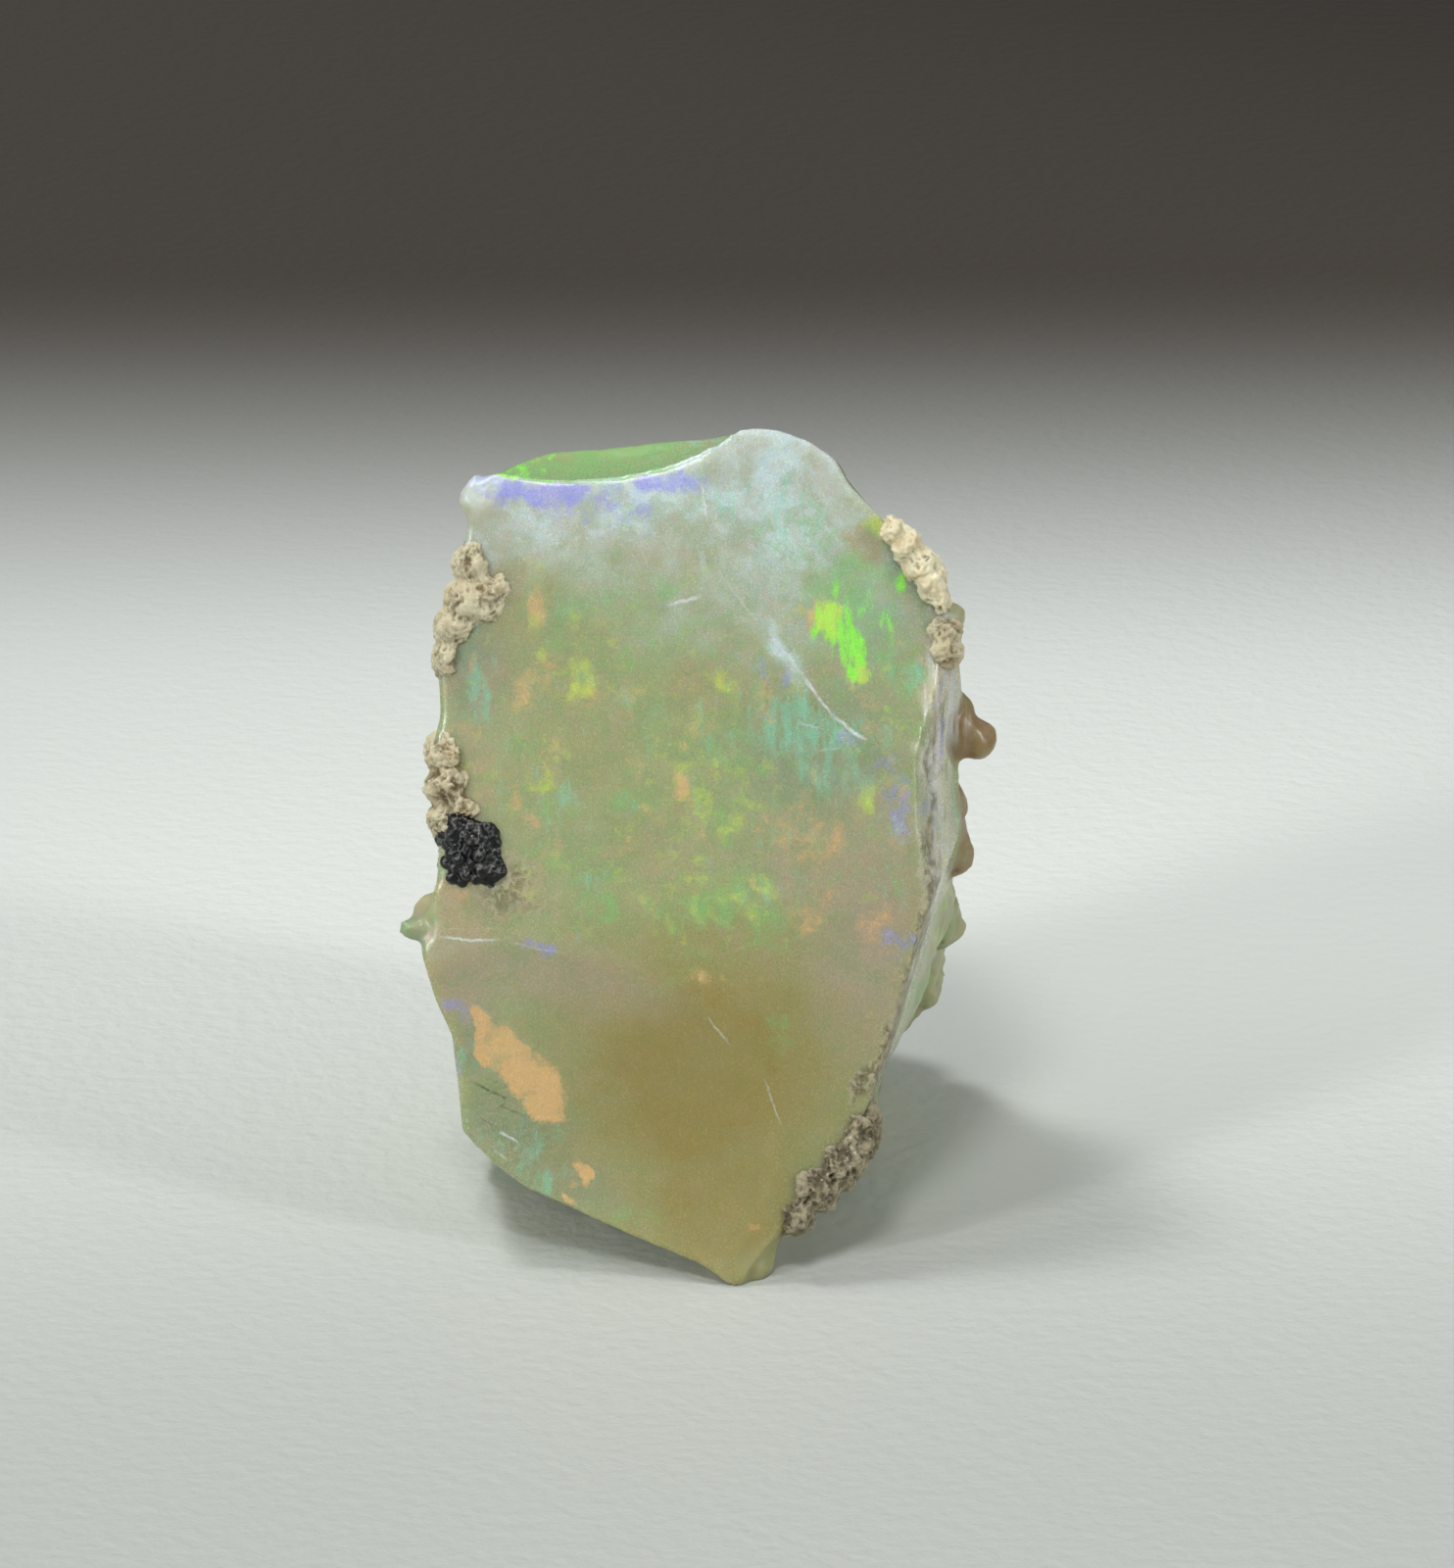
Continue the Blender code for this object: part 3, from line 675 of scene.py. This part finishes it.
# %% Make the crusts of host rock
CRUSTS = {
    "crust_left_upper": [
        ((-4.00, 0.34, 13.62), (0.42, 0.60, 0.52)),
        ((-3.70, 0.30, 13.12), (0.58, 0.58, 0.50)),
        ((-3.74, 0.30, 12.74), (0.42, 0.52, 0.34)),
        ((-4.06, 0.34, 12.92), (0.54, 0.65, 0.56)),
        ((-4.34, 0.48, 12.42), (0.46, 0.70, 0.50)),
        ((-4.48, 0.55, 11.84), (0.32, 0.66, 0.50)),
    ],
    "crust_left_middle": [
        ((-4.52, 0.50, 10.02), (0.42, 0.72, 0.50)),
        ((-4.44, 0.45, 9.48), (0.52, 0.75, 0.56)),
        ((-4.20, 0.38, 9.06), (0.50, 0.66, 0.40)),
        ((-4.50, 0.50, 8.78), (0.36, 0.66, 0.46)),
    ],
    "crust_right_upper": [
        ((3.88, 0.45, 14.26), (0.26, 0.60, 0.30)),
        ((4.14, 0.50, 13.96), (0.33, 0.64, 0.40)),
        ((4.38, 0.52, 13.60), (0.38, 0.66, 0.44)),
        ((4.62, 0.56, 13.22), (0.34, 0.64, 0.42)),
        ((4.78, 0.58, 12.90), (0.22, 0.60, 0.28)),
    ],
    "crust_right_middle": [
        ((4.84, 0.55, 12.36), (0.40, 0.60, 0.34)),
        ((4.86, 0.55, 11.98), (0.38, 0.60, 0.38)),
    ],
    "crust_right_foot": [
        ((3.24, 1.00, 3.00), (0.50, 1.10, 0.74)),
        ((2.84, 0.92, 2.42), (0.62, 1.05, 0.62)),
        ((2.40, 0.76, 1.92), (0.60, 0.95, 0.56)),
        ((2.02, 0.64, 1.42), (0.46, 0.75, 0.46)),
    ],
    "crust_left_rear": [((-3.55, 6.10, 8.10), (0.80, 1.50, 1.50))],
    "crust_back_upper": [((-2.30, 4.90, 12.10), (1.50, 1.00, 1.40))],
    "crust_back_lower": [((2.60, 9.00, 6.20), (1.70, 1.00, 1.40))],
}
crusts = []
for seed, (name, lumps) in enumerate(CRUSTS.items()):
    crust = ragged_lump(name, lumps, seed)
    make_craggy(crust)
    crusts.append(crust)
    print(name, triangles_in(crust), "triangles")

# %% [markdown]
# The black patch on the left edge is a crust of tiny shiny beads, as manganese ore often
# grows. Small balls are spread evenly over four lumps and sunk halfway into them, then all is
# remeshed together, so that the beads run into each other like drops.

# %% Make the black beads
BEAD_LUMPS = [
    ((-3.98, 0.40, 8.20), (0.66, 0.68, 0.74)), ((-3.66, 0.28, 7.96), (0.42, 0.48, 0.50)),
    ((-3.74, 0.28, 8.46), (0.42, 0.48, 0.38)), ((-4.22, 0.34, 8.60), (0.42, 0.56, 0.40)),
]
BEAD_CORE = 0.93
BEADS_PER_LUMP = 110
BEAD_SIZES = (0.06, 0.15)
BEAD_REACH = (0.88, 1.0)
BEAD_VOXEL = 0.03


def bead_patch(name, lumps, seed):
    dice = random.Random(seed)
    balls = [add_ball(at, Vector(sizes) * BEAD_CORE, detail=4) for at, sizes in lumps]
    golden_turn = math.pi * (3 - math.sqrt(5))
    for centre, half_sizes in lumps:
        for i in range(BEADS_PER_LUMP):
            height = 1 - 2 * (i + 0.5) / BEADS_PER_LUMP
            ring, turn = math.sqrt(1 - height * height), i * golden_turn
            way = (ring * math.cos(turn), ring * math.sin(turn), height)
            reach = dice.uniform(*BEAD_REACH)
            place = [centre[k] + way[k] * half_sizes[k] * reach for k in range(3)]
            size = dice.uniform(*BEAD_SIZES)
            balls.append(add_ball(place, (size, size, size), detail=2))
    join(balls[0], balls[1:])
    balls[0].name = name
    finish_modifier(balls[0], "REMESH", mode="VOXEL", voxel_size=BEAD_VOXEL)
    return balls[0]


black_beads = bead_patch("black_beads", BEAD_LUMPS, seed=5)
print("black beads:", triangles_in(black_beads), "triangles")

# %% [markdown]
# Each piece is now leaned back as the stone rests. What would lie below the ground is cut off
# flat, because the stone rests on a flat break, and the piece is made real size. Its place
# stays in its mesh, with the object itself at the origin. Before that, each point notes where
# it was in the upright frame, in millimetres, so that the finishes can be drawn in that frame.

# %% Lean the pieces back and set them on the ground
def set_on_ground(piece):
    layer = piece.data.attributes.new("place", "FLOAT_VECTOR", "POINT")
    layer.data.foreach_set("vector", points_of(piece).ravel().astype(np.float32))
    piece.rotation_euler = Euler((-LEAN, 0.0, 0.0))
    apply_place(piece)
    trim(piece, (0, 0, 0), (0, 0, -1))
    edit_all(piece)
    bpy.ops.mesh.quads_convert_to_tris(quad_method="BEAUTY", ngon_method="BEAUTY")
    bpy.ops.object.mode_set(mode="OBJECT")
    piece.location = -ORIGIN_FROM_FOOT * MM
    piece.scale = (MM, MM, MM)
    apply_place(piece)
    piece.data.shade_smooth()


for piece in [opal, black_beads, *crusts]:
    set_on_ground(piece)
    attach(piece, "root")
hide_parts("opal")
print("opal:", triangles_in(opal), "triangles")

# %% [markdown]
# A finish is a tree of nodes, and most of it is arithmetic. With one small class that stands
# for a socket, the arithmetic is written as Python expressions, and each operator adds its
# Math node. All other nodes come from one method of the class for a whole finish.

# %% Write shader maths as plain expressions
class Signal:
    """A value that varies over a surface. Arithmetic on it adds Math nodes."""

    def __init__(self, finish, socket):
        self.finish = finish
        self.socket = socket

    def math(self, operation, first, second=0.0, clamp=False):
        settings = {"operation": operation, "use_clamp": clamp}
        return self.finish.node("ShaderNodeMath", settings, {0: first, 1: second})

    def __add__(self, other):
        return self.math("ADD", self, other)

    def __sub__(self, other):
        return self.math("SUBTRACT", self, other)

    def __mul__(self, other):
        return self.math("MULTIPLY", self, other)

    def __radd__(self, other):
        return self.math("ADD", other, self)

    def __rsub__(self, other):
        return self.math("SUBTRACT", other, self)

    def __rmul__(self, other):
        return self.math("MULTIPLY", other, self)

    def clamped(self):
        return self.math("ADD", self, 0.0, clamp=True)

    def absolute(self):
        return self.math("ABSOLUTE", self)

    def sine(self):
        return self.math("SINE", self)

# %% Build finishes from nodes
def paint(red, green, blue):
    """A colour picked on a screen, 0 to 255, as the shader wants it."""
    channels = [c / 255 for c in (red, green, blue)]
    linear = [c / 12.92 if c <= 0.04045 else ((c + 0.055) / 1.055) ** 2.4 for c in channels]
    return (*linear, 1.0)


class Finish:
    """One material, drawn in the stone's upright frame in millimetres."""

    def __init__(self, name):
        self.material = bpy.data.materials.new(name)
        self.material.use_nodes = True
        self.material.cycles.emission_sampling = "NONE"
        self.tree = self.material.node_tree
        self.shader = self.tree.nodes["Principled BSDF"]
        self.place = self.stored("place", output=1)

    def feed(self, socket, value):
        if isinstance(value, Signal):
            self.tree.links.new(socket, value.socket)
        else:
            socket.default_value = value

    def node(self, kind, settings, inputs, output=0):
        """Adds any node: first its settings, then the values or links of its sockets."""
        node = self.tree.nodes.new(kind)
        for name, value in settings.items():
            setattr(node, name, value)
        for name, value in inputs.items():
            self.feed(node.inputs[name], value)
        return Signal(self, node.outputs[output])

    def stored(self, name, output=2):
        """What was stored on the points under this name."""
        return self.node("ShaderNodeAttribute", {"attribute_name": name}, {}, output)

    def noise(self, size, detail=2.0, roughness=0.5, place=None):
        inputs = {"Vector": place or self.place, "Scale": 1 / size, "Detail": detail,
                  "Roughness": roughness}
        return self.node("ShaderNodeTexNoise", {}, inputs)

    def shifted(self, offset):
        """The place on the stone, moved, so that two noises of one size don't match."""
        settings = {"operation": "ADD"}
        return self.node("ShaderNodeVectorMath", settings, {0: self.place, 1: (offset,) * 3})

    def ramp(self, value, low, high):
        """0 below low, 1 above high, and a soft rise between them."""
        settings = {"interpolation_type": "SMOOTHSTEP"}
        inputs = {"Value": value, "From Min": low, "From Max": high}
        return self.node("ShaderNodeMapRange", settings, inputs)

    def mix(self, first, second, share):
        settings = {"data_type": "RGBA"}
        return self.node("ShaderNodeMix", settings, {0: share, 6: first, 7: second}, output=2)

    def brightened(self, colour, amount):
        """The colour times a number that varies."""
        settings = {"operation": "SCALE"}
        return self.node("ShaderNodeVectorMath", settings, {0: colour, "Scale": amount})

    def distance_from(self, point):
        """How far the place on the stone is from a point, in millimetres."""
        settings = {"operation": "DISTANCE"}
        return self.node("ShaderNodeVectorMath", settings, {0: self.place, 1: point}, output=1)

    def bump(self, height, depth):
        """Fine relief of this depth in millimetres."""
        return self.node("ShaderNodeBump", {}, {"Height": height, "Distance": depth * MM})

    def set_shader(self, **values):
        for name, value in values.items():
            self.feed(self.shader.inputs[name.replace("_", " ")], value)

    def put_on(self, piece):
        piece.data.materials.clear()
        piece.data.materials.append(self.material)

# %% [markdown]
# The opal itself is hazy and lets light through. The shader mixes three things: light that is
# scattered just under the skin, light that passes with an opal's low index of 1.43, and a
# waxy surface. The body runs from amber at the foot to blue-white haze at the top. On that
# come the patches: each class is frayed by noise, so that a strong patch is solid and a weak
# one breaks up into grains. The patches glow a little, but too weakly to count as lamps, so
# their light isn't sampled as a lamp's is.

# %% Choose the opal's colours
BODY = paint(158, 166, 122)
TINT_COLOURS = {
    "amber": (paint(150, 137, 80), 1.0),
    "teal_shade": (paint(126, 146, 128), 0.8),
    "mauve": (paint(174, 158, 140), 0.8),
    # Besides the haze at the top, this colour paints the highlight along the ridge.
    "haze_and_ridge_glow": (paint(198, 214, 214), 1.0),
    "strip": (paint(228, 219, 198), 0.9),
    "grit": (paint(152, 142, 106), 0.8),
    "beige": (paint(172, 160, 126), 0.9),
    "brown": (paint(138, 110, 72), 0.95),
}
# Colour, how much of the body it hides, how strongly it glows, how softly it ends.
FLASHES_SEEN = {
    "green": (paint(122, 182, 108), 0.64, 0.06, 0.85),
    "teal": (paint(136, 200, 172), 0.64, 0.08, 0.80),
    "violet": (paint(150, 150, 224), 0.75, 0.06, 0.75),
    "orange": (paint(220, 176, 130), 0.66, 0.07, 0.70),
    "blaze": (paint(134, 226, 70), 0.86, 0.32, 0.50),
    "lime": (paint(186, 208, 92), 0.72, 0.16, 0.70),
    "peach": (paint(218, 180, 126), 0.80, 0.06, 0.70),
}

# %% Draw the patches and the hazy body
RIPPLE, RIPPLE_CENTRE = 0.17, (-4.4, 0.0, 5.6)
STREAK_LEAN = 35
PATCH_FRAY, PATCH_EDGE = 2.3, 0.68


def draw_patches(finish, body):
    """Lays the classes of patch over the body. Returns its colour and the light in it."""
    colour, light = body, paint(0, 0, 0)
    grains = [finish.noise(0.42, 5.0, 0.72, finish.shifted(30.0 * i)) for i in range(3)]
    slanted = finish.node("ShaderNodeMapping", {}, {
        "Vector": finish.place, "Rotation": (0, math.radians(STREAK_LEAN), 0),
        "Scale": (2.2, 1.0, 0.7)})
    streaks = finish.noise(0.42, 5.0, 0.70, slanted)
    for index, (name, (flash, cover, glow, softness)) in enumerate(FLASHES_SEEN.items()):
        grain = streaks if name in ("blaze", "teal") else grains[index % 3]
        frayed = finish.stored(name) + (grain - 0.5) * PATCH_FRAY
        patch = finish.ramp(frayed, PATCH_EDGE - softness / 2, PATCH_EDGE + softness / 2)
        colour = finish.mix(colour, flash, patch * cover)
        light = finish.mix(light, flash, patch * glow)
    return colour, light


def opal_body(finish):
    """The hazy body, mottled by broad and fine clouds."""
    colour = BODY
    crumbly = (finish.noise(0.30, 4.0, 0.72, finish.shifted(85.0)) - 0.5) * 1.6
    for name, (tint, cover) in TINT_COLOURS.items():
        share = finish.stored(name)
        if name in ("beige", "grit"):
            share = finish.ramp(share + crumbly, 0.25, 0.95)
        colour = finish.mix(colour, tint, share * cover)
    calm = 1 - finish.stored("amber") * 0.75
    broad = finish.ramp(finish.noise(1.1, 5.0, 0.68, finish.shifted(100.0)), 0.42, 0.62)
    colour = finish.mix(colour, paint(172, 154, 116), broad * calm * 0.36)
    fine = finish.ramp(finish.noise(0.50, 5.0, 0.68, finish.shifted(130.0)), 0.45, 0.62)
    colour = finish.mix(colour, paint(128, 156, 106), fine * calm * 0.34)
    rosy = finish.ramp(finish.noise(0.34, 4.0, 0.68, finish.shifted(160.0)), 0.48, 0.64)
    return finish.mix(colour, paint(182, 162, 140), rosy * calm * 0.26)

# %% Draw the thin lines and streaks
def thin_lines(finish):
    """Scratches, cracks and painted ridge highlights, uneven by noise: above 0 where pale, below 0
    where dark.
    """
    wobble = finish.noise(0.30, 3.0, 0.6, finish.shifted(50.0)) - 0.5
    near = 1 - (finish.stored("line_aside") + wobble * 3.0).absolute()
    broken = finish.ramp(finish.noise(0.11, 3.0, 0.6, finish.shifted(55.0)), 0.32, 0.56)
    return finish.ramp(near, 0.0, 0.8) * finish.stored("line_strength") * (0.35 + broken * 0.65)


def strip_streaks(finish):
    """Long pale and dark streaks that run up the narrow break on the right edge."""
    stretched = finish.node("ShaderNodeMapping", {}, {
        "Vector": finish.place, "Scale": (6.0, 2.0, 0.35)})
    return (finish.noise(0.60, 4.0, 0.6, stretched) - 0.44) * finish.stored("strip") * 5.0

# %% Finish the opal
def make_opal():
    finish = Finish("opal")
    colour, light = draw_patches(finish, opal_body(finish))
    grain = finish.noise(0.045, 2.0, 0.7)
    calm = 1 - finish.stored("amber") * 0.6
    colour = finish.brightened(colour, 1.20 + (grain - 0.5) * calm * 0.28)
    lines = thin_lines(finish) + strip_streaks(finish)
    # Pale lines: scratches, and painted highlights along the ridge and the top edge.
    colour = finish.mix(colour, paint(228, 233, 232), lines.clamped() * 0.9)
    colour = finish.mix(colour, paint(84, 82, 60), (0 - lines).clamped() * 0.8)
    crowd = finish.ramp(finish.noise(0.8, 2.0, 0.5, finish.shifted(75.0)), 0.40, 0.60)
    specks = finish.ramp(finish.noise(0.038, 1.0, 0.5, finish.shifted(60.0)), 0.66, 0.80)
    colour = finish.mix(colour, paint(222, 230, 222), specks * crowd * calm * 0.20)
    grit = finish.stored("grit")
    crumbs = finish.ramp(finish.noise(0.15, 3.0, 0.72, finish.shifted(85.0)), 0.38, 0.60)
    crumb_colour = finish.mix(paint(84, 74, 50), paint(206, 200, 170), crumbs)
    colour = finish.mix(colour, crumb_colour, grit * 0.62)
    uneven = finish.noise(0.5, 3.0, 0.6) * 14.0
    ripples = finish.distance_from(RIPPLE_CENTRE) * (2 * math.pi / RIPPLE) + uneven
    height = grain * 0.3 + ripples.sine() * finish.stored("ripples") * 0.35 + lines * 0.6
    height = height + crumbs * grit * 3.5
    rough = 0.26 + finish.stored("hackle") * 0.22 + (grain - 0.5) * 0.2 + grit * 0.3
    finish.set_shader(
        Base_Color=colour, Roughness=rough, IOR=1.43, Transmission_Weight=0.22,
        Subsurface_Weight=0.7, Subsurface_Radius=(1.0, 0.9, 0.5), Subsurface_Scale=0.0009,
        Coat_Weight=0.12, Coat_Roughness=0.12, Emission_Color=light, Emission_Strength=0.5,
        Normal=finish.bump(height, 0.012),
    )
    return finish


opal_finish = make_opal()
opal_finish.put_on(opal)
print("opal finish:", len(opal_finish.tree.nodes), "nodes")

# %% [markdown]
# Host rock is dull and open-grained. The finish makes its tops cream and its pits brown and
# darker, reading the height that the craggy shape stored on its points, and adds a finer
# layer of pits by noise. The crust at the foot is greyer, so each crust also has its own tone.

# %% Finish the host rock
def make_host_rock():
    finish = Finish("host_rock")
    fine = finish.noise(0.10, 4.0, 0.7)
    height = finish.stored("height") + (fine - 0.5) * 1.1
    stain = finish.ramp(finish.noise(0.55, 3.0, 0.6, finish.shifted(20.0)), 0.45, 0.65)
    # Browner and darker in the pits, cream on the tops.
    colour = finish.mix(paint(124, 104, 70), paint(236, 228, 194), finish.ramp(height, 0.10, 0.70))
    colour = finish.mix(colour, paint(184, 152, 96), stain * 0.40)
    greyer = finish.mix(paint(92, 83, 62), paint(160, 151, 124), finish.ramp(height, 0.2, 0.9))
    colour = finish.mix(colour, greyer, finish.stored("grey"))
    white = finish.ramp(finish.noise(0.13, 2.0, 0.6, finish.shifted(45.0)), 0.62, 0.70)
    colour = finish.mix(colour, paint(232, 228, 212), white * 0.45)
    finish.set_shader(
        Base_Color=colour, Roughness=0.88, Subsurface_Weight=0.25,
        Subsurface_Radius=(1.0, 0.8, 0.5), Subsurface_Scale=0.0002,
        Normal=finish.bump(fine, 0.04),
    )
    return finish


host_rock = make_host_rock()
for crust in crusts:
    host_rock.put_on(crust)
print("host rock finish:", len(host_rock.tree.nodes), "nodes")

# %% [markdown]
# The black beads are hard and shiny. A little grey dust lies between them, and fine pale
# fibres cross them, so the finish is nearly black with thin lighter threads: the fibres,
# with painted highlights glinting along them.

# %% Finish the black beads
def make_black_mineral():
    finish = Finish("black_mineral")
    dust = finish.ramp(finish.noise(0.22, 4.0, 0.7), 0.55, 0.75)
    threads = (finish.noise(0.45, 3.0, 0.6, finish.shifted(9.0)) - 0.5).absolute()
    thread_and_glint = 1 - finish.ramp(threads, 0.004, 0.022)
    colour = finish.mix(paint(4, 4, 6), paint(38, 36, 33), dust * 0.35)
    # Pale threads: fibres, and painted highlights along them.
    colour = finish.mix(colour, paint(160, 160, 152), thread_and_glint * 0.32)
    finish.set_shader(
        Base_Color=colour, Roughness=0.30 + dust * 0.3,
        Normal=finish.bump(finish.noise(0.08, 3.0, 0.6), 0.02),
    )
    return finish


black_mineral = make_black_mineral()
black_mineral.put_on(black_beads)
print("black mineral finish:", len(black_mineral.tree.nodes), "nodes")

# %% [markdown]
# The stage is a plain pale floor. It fills the whole picture, because the camera looks down at
# 22 degrees with a long lens. It has a faint grain, so that the stone's soft shadow lies on
# something. Its colour holds a painted pool of light just behind the stone, and painted shade
# that darkens it with distance, so that the pale top edge stands out.

# %% Lay the floor
FLOOR_SIZE = 0.9
# Where the painted pool of light comes up, and where the painted shade then darkens the floor, in
# metres behind the stone.
NEAR_TO_PAINTED_POOL = (-0.016, 0.016)
POOL_TO_PAINTED_SHADE = (0.024, 0.052)


def make_floor():
    deselect_all()
    bpy.ops.mesh.primitive_plane_add(size=FLOOR_SIZE)
    floor = bpy.context.object
    floor.name = "floor"
    finish = Finish("floor")
    spot = finish.node("ShaderNodeTexCoord", {}, {}, output=3)
    grain = finish.noise(0.35 * MM, place=spot)
    distance = finish.node("ShaderNodeSeparateXYZ", {}, {0: spot}, output=1)
    # Painted light: paler in a pool just behind the stone, and painted shade darker further back.
    painted_pool = finish.ramp(distance, *NEAR_TO_PAINTED_POOL)
    colour = finish.mix(paint(180, 183, 178), paint(216, 219, 214), painted_pool)
    colour = finish.mix(colour, paint(68, 58, 46), finish.ramp(distance, *POOL_TO_PAINTED_SHADE))
    finish.set_shader(Base_Color=colour, Roughness=0.6, Normal=finish.bump(grain, 0.04))
    finish.put_on(floor)


make_floor()
print("floor:", FLOOR_SIZE, "metres wide")

# %% [markdown]
# The main light is a soft box above and behind the stone, a little to its left. Its beam is
# narrow, so that the pool of light on the floor fades into the dark behind, and it shines
# through the opal's thin edges. A second box, high in front, opens up the broad face without
# a glare on it, and two weak ones lift the shadows at the sides.

# %% Set the lights
# Where each stands, what it aims at, its size, its watts and its spread in degrees.
SOFT_BOXES = {
    "key": ((-0.045, 0.045, 0.115), (0.0, 0.017, 0.0), 0.110, 0.0148, 20),
    "front": ((-0.020, -0.095, 0.150), (0.0, -0.006, 0.005), 0.070, 0.0048, 16),
    "right": ((0.120, -0.070, 0.065), (0.0, -0.004, 0.006), 0.060, 0.0037, 16),
    "left": ((-0.095, -0.085, 0.062), (0.0, -0.006, 0.004), 0.060, 0.0046, 16),
}
BOX_COLOUR = (0.99, 1.0, 0.99)
WORLD_COLOUR, WORLD_STRENGTH = (0.92, 0.96, 1.0, 1.0), 0.28


def add_soft_box(name, place, aim, size, watts, spread):
    deselect_all()
    bpy.ops.object.light_add(type="AREA", location=place)
    box = bpy.context.object
    box.name = name
    box.rotation_euler = (Vector(aim) - Vector(place)).to_track_quat("-Z", "Y").to_euler()
    box.data.size = size
    box.data.energy = watts
    box.data.spread = math.radians(spread)
    box.data.color = BOX_COLOUR


for name, settings in SOFT_BOXES.items():
    add_soft_box(name, *settings)
world = bpy.data.worlds.new("studio")
world.use_nodes = True
background = world.node_tree.nodes["Background"]
background.inputs["Color"].default_value = WORLD_COLOUR
background.inputs["Strength"].default_value = WORLD_STRENGTH
bpy.context.scene.world = world
bpy.context.scene.view_settings.view_transform = "Standard"
print("soft boxes:", ", ".join(SOFT_BOXES))

# %% [markdown]
# The camera stands far back with a long lens, as a close-up of a small stone is taken, and
# looks down by as much as the stone leans back, so that it faces the broad front squarely.

# %% Place the camera
CAMERA_DISTANCE = 200.0
CENTRE_ACROSS, CENTRE_UP = 0.772, 9.504
LENS = 244.8
NEAREST_SEEN = 0.01


def add_camera():
    across = Vector((1, 0, 0))
    up_face = Vector((0, math.sin(LEAN), math.cos(LEAN)))
    look = Vector((0, math.cos(LEAN), -math.sin(LEAN)))
    centre = across * CENTRE_ACROSS + up_face * CENTRE_UP - ORIGIN_FROM_FOOT
    deselect_all()
    bpy.ops.object.camera_add(location=(centre - look * CAMERA_DISTANCE) * MM)
    camera = bpy.context.object
    camera.rotation_euler = look.to_track_quat("-Z", "Y").to_euler()
    camera.data.lens = LENS
    camera.data.clip_start = NEAREST_SEEN
    bpy.context.scene.camera = camera


add_camera()
print("camera:", CAMERA_DISTANCE, "mm from the stone")
